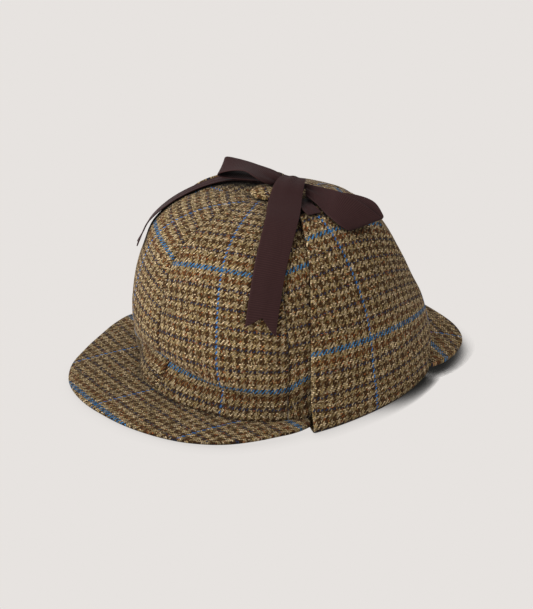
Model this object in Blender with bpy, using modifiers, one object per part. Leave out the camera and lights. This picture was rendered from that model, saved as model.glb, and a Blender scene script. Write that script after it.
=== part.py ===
"""Deerstalker hat: six tweed gores, two peaks, tied-up ear flaps, button and ribbon bow.

The hat faces -Y, the wearer's left is +X and up is +Z. It rests on z = 0.
Sizes below are in millimetres and degrees. Angles around the crown run from the
centre front (0) over the wearer's left ear (90) to the centre back (180).
"""
import math
from collections import namedtuple

import bmesh
import bpy
from mathutils import Vector

MM = 0.001
COLLECTION = "deerstalker_hat"

# --- crown -------------------------------------------------------------------
RIM_HALF_LENGTH = 99.5
RIM_HALF_WIDTH = 95.5
RIM_HEIGHT = 7.0
CROWN_WALL = 2.0
GORE_COUNT = 6
GORE_NAMES = ("front_left", "side_left", "back_left", "back_right", "side_right", "front_right")
GORE_COLUMNS = 8
GORE_ROWS = 15
GORE_PUFF = 1.0
SEAM_GAP = 0.6
TIP_GIRTH_PLACE = 0.18
CROWN_CENTRE = (1.4, 6.8)

# One row for each level of the crown: height above the seam with the peaks, girth as a
# share of the rim, how far the level leans to the front, and how square its oval is.
Ring = namedtuple("Ring", "height girth lean square")
RINGS = (
    Ring(0.0, 1.000, 0.0, 2.25),
    Ring(2.5, 1.000, 0.0, 2.25),
    Ring(8.0, 0.975, 0.0, 2.20),
    Ring(18.0, 0.953, 0.0, 2.12),
    Ring(33.0, 0.958, 1.0, 2.03),
    Ring(50.0, 0.948, 2.0, 2.00),
    Ring(67.0, 0.905, 3.5, 2.00),
    Ring(82.0, 0.838, 5.5, 2.00),
    Ring(95.0, 0.750, 7.5, 2.00),
    Ring(105.0, 0.640, 8.6, 2.00),
    Ring(112.0, 0.505, 9.0, 2.00),
    Ring(116.2, 0.350, 9.2, 2.00),
    Ring(118.0, 0.180, 9.3, 2.00),
    Ring(118.5, 0.000, 9.3, 2.00),
)
SHOULDER_PLACE = 4

# Dents in the crown: centre angle and height, half spread each way, depth.
Dent = namedtuple("Dent", "angle height wide tall depth")
DENTS = (
    Dent(-8.0, 15.0, 48.0, 8.0, 4.5),
    Dent(63.0, 34.0, 7.0, 26.0, 2.5),
    Dent(-63.0, 34.0, 7.0, 26.0, 2.0),
    Dent(140.0, 58.0, 24.0, 20.0, 2.2),
    Dent(205.0, 111.0, 40.0, 7.0, 2.5),
    Dent(209.0, 110.0, 24.0, 8.0, 4.6),
    Dent(184.0, 98.0, 28.0, 14.0, -3.0),
    Dent(145.0, 98.0, 25.0, 12.0, -1.8),
    Dent(-44.0, 98.0, 28.0, 13.0, -2.6),
    Dent(-31.0, 1.0, 17.0, 8.0, 8.6),
    Dent(24.0, 1.0, 11.0, 7.0, 2.3),
)

# --- peaks -------------------------------------------------------------------
PEAK_THICK = 3.0
PEAK_ROOT_INSET = 2.5
PEAK_SEAM_GAP = 0.5
PEAK_CAMBER = 1.2
PEAK_ROWS = 6
PEAK_COLUMNS = 28

# Outline of a peak: how far its edge stands out from the rim at an angle around the crown.
# The front peak is pulled a little towards the wearer's right.
PeakEdge = namedtuple("PeakEdge", "angle depth")
FRONT_PEAK = (
    PeakEdge(-72.0, 4.0),
    PeakEdge(-70.5, 10.0),
    PeakEdge(-67.0, 16.3),
    PeakEdge(-60.0, 19.2),
    PeakEdge(-50.0, 22.6),
    PeakEdge(-40.0, 29.4),
    PeakEdge(-30.0, 37.8),
    PeakEdge(-20.0, 42.8),
    PeakEdge(-10.0, 42.8),
    PeakEdge(0.0, 39.5),
    PeakEdge(12.0, 34.5),
    PeakEdge(24.0, 29.6),
    PeakEdge(36.0, 24.0),
    PeakEdge(46.0, 17.8),
    PeakEdge(54.0, 13.0),
    PeakEdge(60.0, 10.4),
    PeakEdge(64.0, 8.0),
    PeakEdge(67.2, 4.6),
)
BACK_PEAK = (
    PeakEdge(-227.2, 7.0),
    PeakEdge(-224.0, 13.5),
    PeakEdge(-215.0, 25.0),
    PeakEdge(-208.0, 30.4),
    PeakEdge(-200.0, 30.6),
    PeakEdge(-190.0, 27.8),
    PeakEdge(-180.0, 26.0),
    PeakEdge(-170.0, 27.8),
    PeakEdge(-160.0, 30.6),
    PeakEdge(-152.0, 30.4),
    PeakEdge(-145.0, 25.0),
    PeakEdge(-136.0, 13.5),
    PeakEdge(-132.8, 7.0),
)
Peak = namedtuple("Peak", "name outline edge")
PEAKS = (
    Peak("front_peak", FRONT_PEAK, 0.4),
    Peak("back_peak", BACK_PEAK, 2.6),
)

# --- ear flaps ---------------------------------------------------------------
FLAP_THICK = 2.2
FLAP_COLUMNS = 16
FLAP_ROOT_INSET = 2.5
FLAP_ROOT_TOP = 6.5
FOLD_HEIGHT = 2.8
FOLD_CORNER = 1.8

# One row for each level of the flap: height above the crown's seam, the angles of its front
# and back edges, and how far its middle layer stands off the crown at front, middle, back.
FlapRow = namedtuple("FlapRow", "height front back stand_front stand_middle stand_back")
FLAP_ROWS = (
    FlapRow(0.0, 68.5, 129.0, 8.8, 4.6, 4.6),
    FlapRow(6.0, 68.5, 137.0, 8.9, 5.4, 6.2),
    FlapRow(13.0, 68.5, 142.0, 9.0, 6.2, 7.4),
    FlapRow(24.0, 68.3, 145.0, 8.2, 6.2, 6.8),
    FlapRow(40.0, 68.5, 144.5, 5.8, 4.8, 4.6),
    FlapRow(56.0, 69.0, 142.5, 4.2, 3.6, 2.8),
    FlapRow(72.0, 70.5, 140.5, 3.0, 2.8, 2.2),
    FlapRow(86.0, 73.0, 139.5, 2.6, 2.6, 2.2),
    FlapRow(97.0, 76.0, 137.5, 2.5, 2.5, 2.6),
    FlapRow(105.0, 78.5, 133.5, 2.5, 2.5, 2.5),
    FlapRow(111.0, 82.0, 127.0, 2.5, 2.5, 2.5),
    FlapRow(115.3, 89.0, 114.0, 2.5, 2.5, 2.5),
)
FLAP_FOLD_BACK = 125.0
FLAP_STEPS_PER_ROW = 1.25
RIGHT_FLAP_TRIM = 5.5
RIGHT_FLAP_PRESS = 0.34

# --- button ------------------------------------------------------------------
BUTTON_GAP = 0.4
BUTTON_STEPS = 20
ButtonPoint = namedtuple("ButtonPoint", "radius height")
BUTTON_PROFILE = (
    ButtonPoint(0.0, 5.2),
    ButtonPoint(5.0, 4.7),
    ButtonPoint(8.6, 3.1),
    ButtonPoint(10.0, 1.2),
    ButtonPoint(9.4, 0.0),
    ButtonPoint(0.0, 0.0),
)

# --- ribbon ------------------------------------------------------------------
RIBBON_THICK = 1.0
RIBBON_ACROSS = (-0.5, 0.0, 0.5)
TAIL_NOTCH = 0.4
KNOT_CENTRE = (12.0, 6.0, 131.2)
KNOT_SIZE = (17.0, 16.0, 9.5)
KNOT_TURN = 25.0
KNOT_SUBDIVISION = 2

# A ribbon that lies on the crown: plan position, stand off the crown, width.
Lay = namedtuple("Lay", "x y stand width")
TAILS = {
    "ribbon_tail_front": (
        Lay(9.5, 8.5, 11.4, 15.0),
        Lay(13.0, 3.0, 11.8, 18.0),
        Lay(17.0, -2.5, 10.4, 20.0),
        Lay(21.0, -7.5, 7.2, 21.0),
        Lay(28.0, -14.5, 5.2, 22.0),
        Lay(37.5, -23.5, 4.6, 22.0),
        Lay(49.5, -37.5, 2.6, 22.0),
        Lay(59.5, -50.0, 1.6, 22.0),
        Lay(64.0, -56.5, 1.6, 22.0),
        Lay(67.2, -62.0, 1.8, 22.0),
    ),
    "ribbon_tail_side": (
        Lay(3.5, 9.0, 2.8, 10.0),
        Lay(-5.0, 7.0, 2.8, 12.0),
        Lay(-13.0, 3.0, 2.8, 14.0),
        Lay(-23.6, -7.2, 2.6, 15.0),
        Lay(-35.6, -16.0, 1.5, 15.0),
        Lay(-46.2, -24.2, 1.2, 15.0),
        Lay(-53.6, -32.0, 1.2, 16.5),
        Lay(-56.2, -40.0, 1.2, 19.0),
        Lay(-55.2, -47.5, 1.2, 21.0),
        Lay(-53.5, -55.0, 1.5, 22.0),
        Lay(-51.8, -62.0, 2.2, 22.0),
        Lay(-51.0, -66.8, 2.8, 22.0),
        Lay(-51.0, -71.0, 3.8, 22.0),
    ),
}
TIES = {
    "left_flap_tie": (
        Lay(42.5, -1.8, 4.9, 10.5),
        Lay(38.5, -1.4, 4.8, 11.0),
        Lay(33.5, -0.4, 4.0, 10.5),
        Lay(27.5, 2.0, 2.4, 11.5),
        Lay(21.5, 4.5, 1.6, 11.0),
    ),
    "right_flap_tie": (
        Lay(-29.0, 1.5, 1.2, 11.0),
        Lay(-23.0, 8.5, 1.1, 13.0),
        Lay(-12.0, 15.0, 1.1, 14.0),
        Lay(2.0, 13.5, 1.4, 11.0),
    ),
}

# A bow loop in the air: centre of each cross-section, the heading and slope of its
# width, and the width. The ribbon runs out along the top and back underneath.
Loop = namedtuple("Loop", "x y z turn slope width")
LOOPS = {
    "bow_loop_front": (
        Loop(2.5, 1.5, 133.0, 96.0, 8.0, 12.0),
        Loop(-2.0, -2.0, 135.6, 112.0, 2.0, 18.0),
        Loop(-10.0, -6.0, 137.8, 127.0, -6.0, 22.0),
        Loop(-20.0, -8.0, 138.4, 135.0, -8.0, 22.0),
        Loop(-30.0, -11.5, 137.2, 135.0, -2.0, 22.0),
        Loop(-37.0, -14.6, 135.2, 131.0, 6.0, 22.0),
        Loop(-38.8, -15.0, 133.0, 130.0, 5.0, 22.0),
        Loop(-37.0, -13.6, 131.4, 128.0, 4.0, 21.5),
        Loop(-30.0, -9.0, 130.4, 122.0, 0.0, 20.5),
        Loop(-18.0, -2.0, 130.6, 114.0, -2.0, 18.5),
        Loop(-7.0, 3.5, 130.9, 104.0, 0.0, 14.0),
        Loop(2.0, 5.5, 130.9, 96.0, 0.0, 11.0),
    ),
    "bow_loop_back": (
        Loop(20.5, 9.5, 130.8, 145.0, 12.0, 13.0),
        Loop(29.0, 13.0, 129.0, 138.0, 12.0, 19.0),
        Loop(37.0, 14.5, 128.0, 128.0, 17.0, 22.0),
        Loop(45.0, 15.5, 127.5, 118.0, 22.0, 22.5),
        Loop(55.0, 19.5, 124.2, 100.0, 15.0, 25.0),
        Loop(62.0, 24.0, 119.4, 85.0, 5.0, 27.0),
        Loop(63.2, 26.2, 118.0, 84.0, 5.0, 27.0),
        Loop(61.0, 28.8, 118.2, 88.0, 9.0, 26.0),
        Loop(52.5, 31.5, 121.6, 98.0, 13.0, 24.0),
        Loop(41.0, 29.5, 124.0, 106.0, 9.0, 20.0),
        Loop(30.0, 21.5, 126.2, 112.0, 6.0, 16.0),
        Loop(20.5, 14.0, 127.8, 122.0, 6.0, 12.0),
    ),
}
SECTIONS_PER_ROW = 3

# --- colours: base colour, roughness, metallic ---------------------------------
Finish = namedtuple("Finish", "colour roughness metallic")
TWEED = Finish((0.235, 0.155, 0.075, 1.0), 0.95, 0.0)
TWEED_EDGE = Finish((0.205, 0.135, 0.068, 1.0), 0.95, 0.0)
RIBBON = Finish((0.045, 0.022, 0.026, 1.0), 0.60, 0.0)


# --- scene helpers -----------------------------------------------------------
def clear_scene():
    for item in list(bpy.data.objects):
        bpy.data.objects.remove(item, do_unlink=True)


def hat_collection():
    collection = bpy.data.collections.new(COLLECTION)
    bpy.context.scene.collection.children.link(collection)
    return collection


def make_material(name, finish):
    material = bpy.data.materials.new(name)
    material.use_nodes = True
    shader = material.node_tree.nodes["Principled BSDF"]
    shader.inputs["Base Color"].default_value = finish.colour
    shader.inputs["Roughness"].default_value = finish.roughness
    shader.inputs["Metallic"].default_value = finish.metallic
    return material


def to_scene(point):
    """Millimetres from the crown's centre to metres from the hat's origin."""
    return Vector((point[0] + CROWN_CENTRE[0], point[1] + CROWN_CENTRE[1], point[2])) * MM


def sheet_object(name, grid, thickness, material, collection):
    """An open sheet of quads through a grid of points, thickened to a closed wall."""
    sheet = bmesh.new()
    rows = [[sheet.verts.new(to_scene(point)) for point in row] for row in grid]
    for lower, upper in zip(rows, rows[1:]):
        for near, far, far_up, near_up in zip(lower, lower[1:], upper[1:], upper):
            sheet.faces.new((near, far, far_up, near_up))
    mesh = bpy.data.meshes.new(name)
    sheet.to_mesh(mesh)
    sheet.free()
    mesh.materials.append(material)
    mesh.shade_smooth()
    item = bpy.data.objects.new(name, mesh)
    collection.objects.link(item)
    wall = item.modifiers.new("wall", "SOLIDIFY")
    wall.thickness = thickness * MM
    wall.use_even_offset = True
    return item, wall


# --- smooth tables -----------------------------------------------------------
def spline(before, start, end, after, share):
    """Catmull-Rom value between start and end."""
    ahead = (end - before) / 2.0
    arrive = (after - start) / 2.0
    square, cube = share * share, share ** 3
    return (
        start * (2 * cube - 3 * square + 1)
        + ahead * (cube - 2 * square + share)
        + end * (3 * square - 2 * cube)
        + arrive * (cube - square)
    )


def between_rows(rows, place):
    """The table's row at a fractional place, every column smooth."""
    last = len(rows) - 1
    place = min(max(place, 0.0), float(last))
    index = min(int(place), last - 1)
    share = place - index
    around = [rows[min(max(index + step, 0), last)] for step in (-1, 0, 1, 2)]
    return type(rows[0])(*(spline(*values, share) for values in zip(*around)))


def place_of_height(rows, height):
    """The fractional place at which a table's height column reaches a height."""
    low, high = 0.0, float(len(rows) - 1)
    for _ in range(40):
        middle = (low + high) / 2.0
        if between_rows(rows, middle).height < height:
            low = middle
        else:
            high = middle
    return (low + high) / 2.0


# --- the crown's surface -----------------------------------------------------
def oval(angle, square, half_x, half_y):
    """A point on a rounded rectangle, from -Y round towards +X."""
    side, front = math.sin(math.radians(angle)), math.cos(math.radians(angle))
    x = half_x * math.copysign(abs(side) ** (2.0 / square), side)
    y = -half_y * math.copysign(abs(front) ** (2.0 / square), front)
    return x, y


def outward(angle):
    """Horizontal direction straight out of the rim."""
    side, front = math.sin(math.radians(angle)), math.cos(math.radians(angle))
    return Vector((side * RIM_HALF_LENGTH, -front * RIM_HALF_WIDTH, 0.0)).normalized()


def turn_between(angle, centre):
    return (angle - centre + 180.0) % 360.0 - 180.0


def pushed_in(angle, height):
    """How deep the dents are at a place on the crown."""
    return sum(
        dent.depth * math.exp(
            -(turn_between(angle, dent.angle) / dent.wide) ** 2
            - ((height - dent.height) / dent.tall) ** 2
        )
        for dent in DENTS
    )


def crown_point(angle, place):
    """A point of the crown's outer face at a place in the table of rings."""
    ring = between_rows(RINGS, place)
    girth = max(ring.girth, 0.0)
    x, y = oval(angle, ring.square, RIM_HALF_WIDTH * girth, RIM_HALF_LENGTH * girth)
    bowed = min(1.0, ring.height / RINGS[SHOULDER_PLACE].height) * girth
    puff = GORE_PUFF * bowed * math.sin(math.radians(angle * GORE_COUNT / 2.0)) ** 2
    shift = outward(angle) * (puff - pushed_in(angle, ring.height) * min(1.0, 2.0 * girth))
    return Vector((x + shift.x, y + shift.y - ring.lean, RIM_HEIGHT + ring.height))


def crown_normal(angle, place):
    turn, climb = 1.0, 0.1
    along = crown_point(angle + turn, place) - crown_point(angle - turn, place)
    up = crown_point(angle, place + climb) - crown_point(angle, place - climb)
    return along.cross(up).normalized()


def crown_under(x, y):
    """Angle and place of the crown's surface below a point of the plan."""
    low, high = float(SHOULDER_PLACE), float(len(RINGS) - 1)
    for _ in range(40):
        middle = (low + high) / 2.0
        ring = between_rows(RINGS, middle)
        girth = max(ring.girth, 1e-6)
        reach = math.hypot(x / RIM_HALF_WIDTH, (y + ring.lean) / RIM_HALF_LENGTH) / girth
        if reach < 1.0:
            low = middle
        else:
            high = middle
    lean = between_rows(RINGS, low).lean
    angle = math.degrees(math.atan2(x / RIM_HALF_WIDTH, -(y + lean) / RIM_HALF_LENGTH))
    return angle, low


def steps(first, last, count):
    return [first + (last - first) * index / count for index in range(count + 1)]


# --- crown gores ---------------------------------------------------------------
def gore(index, material, collection):
    first = index * 360.0 / GORE_COUNT
    last = first + 360.0 / GORE_COUNT
    top = len(RINGS) - 1 - TIP_GIRTH_PLACE
    grid = []
    for place in [0.0] + steps(1.0, top, GORE_ROWS - 1):
        girth = between_rows(RINGS, place).girth
        margin = math.degrees(SEAM_GAP / 2.0 / (RIM_HALF_WIDTH * girth))
        angles = steps(first + margin, last - margin, GORE_COLUMNS)
        grid.append([crown_point(angle, place) for angle in angles])
    name = "crown_gore_" + GORE_NAMES[index]
    _, wall = sheet_object(name, grid, CROWN_WALL, material, collection)
    wall.offset = -1.0


# --- peaks ---------------------------------------------------------------------
def make_peak(peak, material, collection):
    """A stiff peak sewn under the crown's rim, sloping down to its edge."""
    root_height = RIM_HEIGHT - PEAK_SEAM_GAP - PEAK_THICK / 2.0
    edge_height = peak.edge + PEAK_THICK / 2.0
    grid = []
    for share in steps(0.0, 1.0, PEAK_ROWS):
        row = []
        for place in steps(0.0, len(peak.outline) - 1, PEAK_COLUMNS):
            angle, depth = between_rows(peak.outline, place)
            direction = outward(angle)
            rim = Vector((*oval(angle, RINGS[0].square, RIM_HALF_WIDTH, RIM_HALF_LENGTH), 0.0))
            inset = PEAK_ROOT_INSET + pushed_in(angle, 0.0)
            point = rim + direction * (share * (depth + inset) - inset)
            drop = share * min(1.0, depth / 30.0)
            camber = PEAK_CAMBER * math.sin(math.pi * share)
            point.z = root_height + (edge_height - root_height) * drop + camber * drop
            row.append(point)
        grid.append(row)
    _, wall = sheet_object(peak.name, grid, PEAK_THICK, material, collection)
    wall.offset = 0.0


# --- ear flaps -------------------------------------------------------------------
def across_three(front, middle, back, share):
    """A smooth value from front over middle to back."""
    return (
        front * (1.0 - share) * (1.0 - 2.0 * share)
        + middle * 4.0 * share * (1.0 - share)
        + back * share * (2.0 * share - 1.0)
    )


def flap_fold(share, stand):
    """Cross-section of the bottom fold: distance out of the rim and height."""
    low = FLAP_THICK / 2.0
    return (
        (-FLAP_ROOT_INSET, FLAP_ROOT_TOP),
        (-FLAP_ROOT_INSET, FOLD_HEIGHT),
        (FOLD_CORNER - FLAP_ROOT_INSET, low),
        (stand - FOLD_CORNER, low),
        (stand, FOLD_HEIGHT),
    )[share]


def ear_flap(name, side, trim, press, material, collection):
    """One flap, folded at the bottom and laid up the crown; side is 1 left, -1 right."""
    shares = steps(0.0, 1.0, FLAP_COLUMNS)
    first = FLAP_ROWS[0]
    grid = []
    for corner in range(5):
        back = FLAP_FOLD_BACK + (first.back - FLAP_FOLD_BACK) * (0.5 if corner == 4 else 0.0)
        row = []
        for share in shares:
            angle = side * (first.front + trim + (back - first.front - trim) * share)
            stand = across_three(first.stand_front, first.stand_middle, first.stand_back, share)
            out, height = flap_fold(corner, stand)
            rim = Vector((*oval(angle, RINGS[0].square, RIM_HALF_WIDTH, RIM_HALF_LENGTH), height))
            row.append(rim + outward(angle) * out)
        grid.append(row)
    row_count = int((len(FLAP_ROWS) - 1) * FLAP_STEPS_PER_ROW)
    for place in steps(0.0, len(FLAP_ROWS) - 1, row_count):
        level = between_rows(FLAP_ROWS, place)
        ring_place = place_of_height(RINGS, level.height)
        row = []
        for share in shares:
            front = level.front + trim
            angle = side * (front + (level.back - front) * share)
            stand = across_three(
                level.stand_front, level.stand_middle, level.stand_back, share)
            stand *= 1.0 - press * level.height / FLAP_ROWS[-1].height
            out = crown_normal(angle, max(ring_place, 0.1))
            row.append(crown_point(angle, ring_place) + out * stand)
        grid.append(row)
    _, wall = sheet_object(name, grid, FLAP_THICK, material, collection)
    wall.offset = 0.0


# --- button ----------------------------------------------------------------------
def top_button(material, collection):
    """A covered button turned from its profile on the crown's apex."""
    mesh = bpy.data.meshes.new("top_button")
    points = [(point.radius * MM, 0.0, point.height * MM) for point in BUTTON_PROFILE]
    edges = [(index, index + 1) for index in range(len(points) - 1)]
    mesh.from_pydata(points, edges, [])
    mesh.materials.append(material)
    button = bpy.data.objects.new("top_button", mesh)
    collection.objects.link(button)
    apex = crown_point(0.0, len(RINGS) - 1)
    button.location = to_scene(apex + Vector((0.0, 0.0, BUTTON_GAP)))
    turned = button.modifiers.new("turned", "SCREW")
    turned.steps = BUTTON_STEPS
    turned.render_steps = BUTTON_STEPS
    turned.use_merge_vertices = True
    turned.merge_threshold = 0.0001


# --- ribbon ----------------------------------------------------------------------
def ribbon_grid(centres, directions, widths):
    return [
        [centre + direction * (width * across) for across in RIBBON_ACROSS]
        for centre, direction, width in zip(centres, directions, widths)
    ]


def lay_section(rows, place):
    """Centre, normal and width of a laid ribbon at a fractional place in its table."""
    lay = between_rows(rows, place)
    angle, ring_place = crown_under(lay.x, lay.y)
    normal = crown_normal(angle, min(ring_place, len(RINGS) - 1.2))
    return crown_point(angle, ring_place) + normal * lay.stand, normal, lay.width


def laid_ribbon(name, rows, notch, material, collection):
    """A ribbon lying on the crown, flat across, with a swallow-tail notch at its end."""
    last = len(rows) - 1
    count = last * SECTIONS_PER_ROW
    places = steps(0.0, last, count)
    centres, normals, widths = zip(*(lay_section(rows, place) for place in places))
    directions = []
    for index, normal in enumerate(normals):
        run = centres[min(index + 1, count)] - centres[max(index - 1, 0)]
        directions.append(normal.cross(run).normalized())
    grid = ribbon_grid(centres, directions, widths)
    for place, row in zip(places, grid):
        row[1] = lay_section(rows, place - notch * (place / last) ** 4)[0]
    _, wall = sheet_object(name, grid, RIBBON_THICK, material, collection)
    wall.offset = 0.0


def bow_loop(name, rows, material, collection):
    """A loop of the bow, out from the knot and back underneath."""
    count = (len(rows) - 1) * SECTIONS_PER_ROW
    centres, directions, widths = [], [], []
    for place in steps(0.0, len(rows) - 1, count):
        loop = between_rows(rows, place)
        turn, slope = math.radians(loop.turn), math.radians(loop.slope)
        level = math.cos(slope)
        centres.append(Vector((loop.x, loop.y, loop.z)))
        directions.append(Vector((math.cos(turn) * level, math.sin(turn) * level, math.sin(slope))))
        widths.append(loop.width)
    grid = ribbon_grid(centres, directions, widths)
    _, wall = sheet_object(name, grid, RIBBON_THICK, material, collection)
    wall.offset = 0.0


def bow_knot(material, collection):
    """The soft knot between the loops, rounded from a block."""
    block = bmesh.new()
    bmesh.ops.create_cube(block, size=1.0)
    bmesh.ops.scale(block, vec=Vector(KNOT_SIZE) * MM, verts=block.verts)
    mesh = bpy.data.meshes.new("bow_knot")
    block.to_mesh(mesh)
    block.free()
    mesh.materials.append(material)
    mesh.shade_smooth()
    knot = bpy.data.objects.new("bow_knot", mesh)
    collection.objects.link(knot)
    knot.location = to_scene(KNOT_CENTRE)
    knot.rotation_euler.z = math.radians(KNOT_TURN)
    soft = knot.modifiers.new("soft", "SUBSURF")
    soft.levels = KNOT_SUBDIVISION
    soft.render_levels = KNOT_SUBDIVISION


def build_hat():
    clear_scene()
    collection = hat_collection()
    tweed = make_material("tweed", TWEED)
    tweed_edge = make_material("tweed_peaks_and_flaps", TWEED_EDGE)
    ribbon = make_material("grosgrain_ribbon", RIBBON)
    for index in range(GORE_COUNT):
        gore(index, tweed, collection)
    for peak in PEAKS:
        make_peak(peak, tweed_edge, collection)
    ear_flap("left_ear_flap", 1, 0.0, 0.0, tweed_edge, collection)
    ear_flap("right_ear_flap", -1, RIGHT_FLAP_TRIM, RIGHT_FLAP_PRESS, tweed_edge, collection)
    top_button(tweed, collection)
    for name, rows in TIES.items():
        laid_ribbon(name, rows, 0.0, ribbon, collection)
    for name, rows in TAILS.items():
        laid_ribbon(name, rows, TAIL_NOTCH, ribbon, collection)
    for name, rows in LOOPS.items():
        bow_loop(name, rows, ribbon, collection)
    bow_knot(ribbon, collection)


build_hat()
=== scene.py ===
"""The looks of the deerstalker hat: tweed crown, peaks and ear flaps, grosgrain bow.

The hat faces -Y, the wearer's left is +X and up is +Z. Lengths are in millimetres from the
crown's centre, and to_scene turns points into metres in the hat's frame. Angles are in
degrees round the crown, from the front towards the wearer's left. A place is a fractional
row of a table, such as 2.5 for halfway between its third row and its fourth.
"""
import functools
import math
from collections import namedtuple

import bmesh
import bpy
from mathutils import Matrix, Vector, noise


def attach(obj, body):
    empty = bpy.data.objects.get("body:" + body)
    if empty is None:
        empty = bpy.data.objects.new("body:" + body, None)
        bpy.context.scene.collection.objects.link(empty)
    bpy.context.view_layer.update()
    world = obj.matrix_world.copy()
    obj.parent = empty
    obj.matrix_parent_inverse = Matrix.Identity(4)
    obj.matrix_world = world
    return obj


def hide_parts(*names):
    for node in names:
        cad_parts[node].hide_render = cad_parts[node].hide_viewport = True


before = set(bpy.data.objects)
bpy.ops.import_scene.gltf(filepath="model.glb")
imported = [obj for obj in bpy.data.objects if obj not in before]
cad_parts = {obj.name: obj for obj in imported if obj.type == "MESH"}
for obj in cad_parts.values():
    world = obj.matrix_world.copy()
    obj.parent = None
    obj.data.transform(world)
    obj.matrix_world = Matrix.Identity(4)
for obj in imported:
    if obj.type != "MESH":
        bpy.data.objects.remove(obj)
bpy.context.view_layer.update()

MM = 0.001
CROWN_CENTRE = (1.4, 6.8)

# How finely things are worked out: halvings of a search, steps up each ring, the points that
# a normal is taken from and how far it stays from the apex, where the points round a rolled
# edge lie in its radius, how close two points merge, and samples of what lies near.
HALVINGS = 40
CLIMB_STEPS = 4.0
NORMAL_TURN = 1.0
NORMAL_RISE = 0.1
APEX_MARGIN = 0.2
CURL_STEPS = (0.0, 0.14, 0.5)
MERGE_WITHIN = 1e-7
NEAR_SAMPLES = 8

# Columns and rows of each piece's mesh, and cross-sections of each ribbon.
GORE_CELLS = (46, 72)
PEAK_CELLS = (110, 26)
FLAP_CELLS = (52, 84)
RIBBON_COLUMNS = 20
RIBBON_LEAST_ROWS = 24
RIBBON_ROW = 1.6
TIE_SECTIONS = 40
TAIL_SECTIONS = 90
LOOP_SECTIONS = 110
BUTTON_SEGMENTS = 48
KNOT_SEGMENTS = (56, 32)

# --- crown: the same rings as the solids ------------------------------------------------
RIM_HALF_LENGTH = 99.5
RIM_HALF_WIDTH = 95.5
RIM_HEIGHT = 7.0
GORE_NAMES = ("front_left", "side_left", "back_left", "back_right", "side_right", "front_right")
GORE_SPAN = 360.0 / len(GORE_NAMES)
GORE_WALL = 2.0
GORE_PUFF = 1.0
# How much of the last ring is left open under the button.
TIP_GAP = 0.12

# How deep the seams pull the cloth in and how wide, and how high and how long its soft
# wrinkles are, and its small puckers, which grow near a seam.
SEAM_PULL = 0.5
SEAM_SPREAD = 3.5
WRINKLE = 0.45
WRINKLE_SIZE = 26.0
PUCKER = 0.16
PUCKER_SIZE = 7.0
SEAM_PUCKER = 1.5
SEAM_PUCKER_SPREAD = 8.0

# Outline of the crown at a height over the rim: its girth as a share of the rim's, how far
# it leans to the front, and how square it is, where 2 is an ellipse.
Ring = namedtuple("Ring", "height girth lean square")
RINGS = (
    Ring(0.0, 1.000, 0.0, 2.25),
    Ring(2.5, 1.000, 0.0, 2.25),
    Ring(8.0, 0.975, 0.0, 2.20),
    Ring(18.0, 0.953, 0.0, 2.12),
    Ring(33.0, 0.958, 1.0, 2.03),
    Ring(50.0, 0.948, 2.0, 2.00),
    Ring(67.0, 0.905, 3.5, 2.00),
    Ring(82.0, 0.838, 5.5, 2.00),
    Ring(95.0, 0.750, 7.5, 2.00),
    Ring(105.0, 0.640, 8.6, 2.00),
    Ring(112.0, 0.505, 9.0, 2.00),
    Ring(116.2, 0.350, 9.2, 2.00),
    Ring(118.0, 0.180, 9.3, 2.00),
    Ring(118.5, 0.000, 9.3, 2.00),
)
SHOULDER_PLACE = 4
APEX_PLACE = float(len(RINGS) - 1)

# Places where the crown is pushed in, or out where the depth is below zero. Each falls away
# over its width, in degrees, and its height, in millimetres.
Dent = namedtuple("Dent", "angle height wide tall depth")
DENTS = (
    Dent(63.0, 34.0, 7.0, 26.0, 2.5),
    Dent(-63.0, 34.0, 7.0, 26.0, 2.0),
    Dent(140.0, 58.0, 24.0, 20.0, 2.2),
    Dent(205.0, 111.0, 40.0, 7.0, 2.5),
    Dent(209.0, 110.0, 24.0, 8.0, 4.6),
    Dent(184.0, 98.0, 28.0, 14.0, -3.0),
    Dent(145.0, 98.0, 25.0, 12.0, -1.8),
    Dent(-44.0, 98.0, 28.0, 13.0, -2.6),
    Dent(-31.0, 1.0, 17.0, 8.0, 8.6),
    Dent(24.0, 1.0, 11.0, 7.0, 2.3),
    Dent(8.0, 37.0, 40.0, 9.0, -1.0),
)

# The crease above the stiff band, at angles round the crown, and how far it reaches above
# its deepest line and below it.
Crease = namedtuple("Crease", "angle height depth")
CREASES = (
    Crease(-80.0, 8.0, 0.0),
    Crease(-55.0, 8.0, 0.8),
    Crease(-38.0, 9.0, 3.2),
    Crease(-22.0, 17.0, 5.4),
    Crease(-8.0, 22.0, 6.0),
    Crease(6.0, 22.0, 6.0),
    Crease(20.0, 18.0, 5.4),
    Crease(36.0, 15.0, 4.6),
    Crease(52.0, 12.0, 3.8),
    Crease(68.0, 11.0, 2.0),
    Crease(85.0, 11.0, 0.0),
)
CREASE_ABOVE = 3.4
CREASE_BELOW = 10.0

# --- peaks ------------------------------------------------------------------------------
PEAK_THICK = 3.0
PEAK_ROOT_INSET = 2.5
PEAK_ROOT_RISE = 0.2
PEAK_CAMBER = 1.2
PEAK_FULL_DEPTH = 30.0
PEAK_EDGE_HEIGHTS = {"front_peak": 0.4, "back_peak": 2.6}
PEAK_SIZE = (260.0, 36.0)

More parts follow.
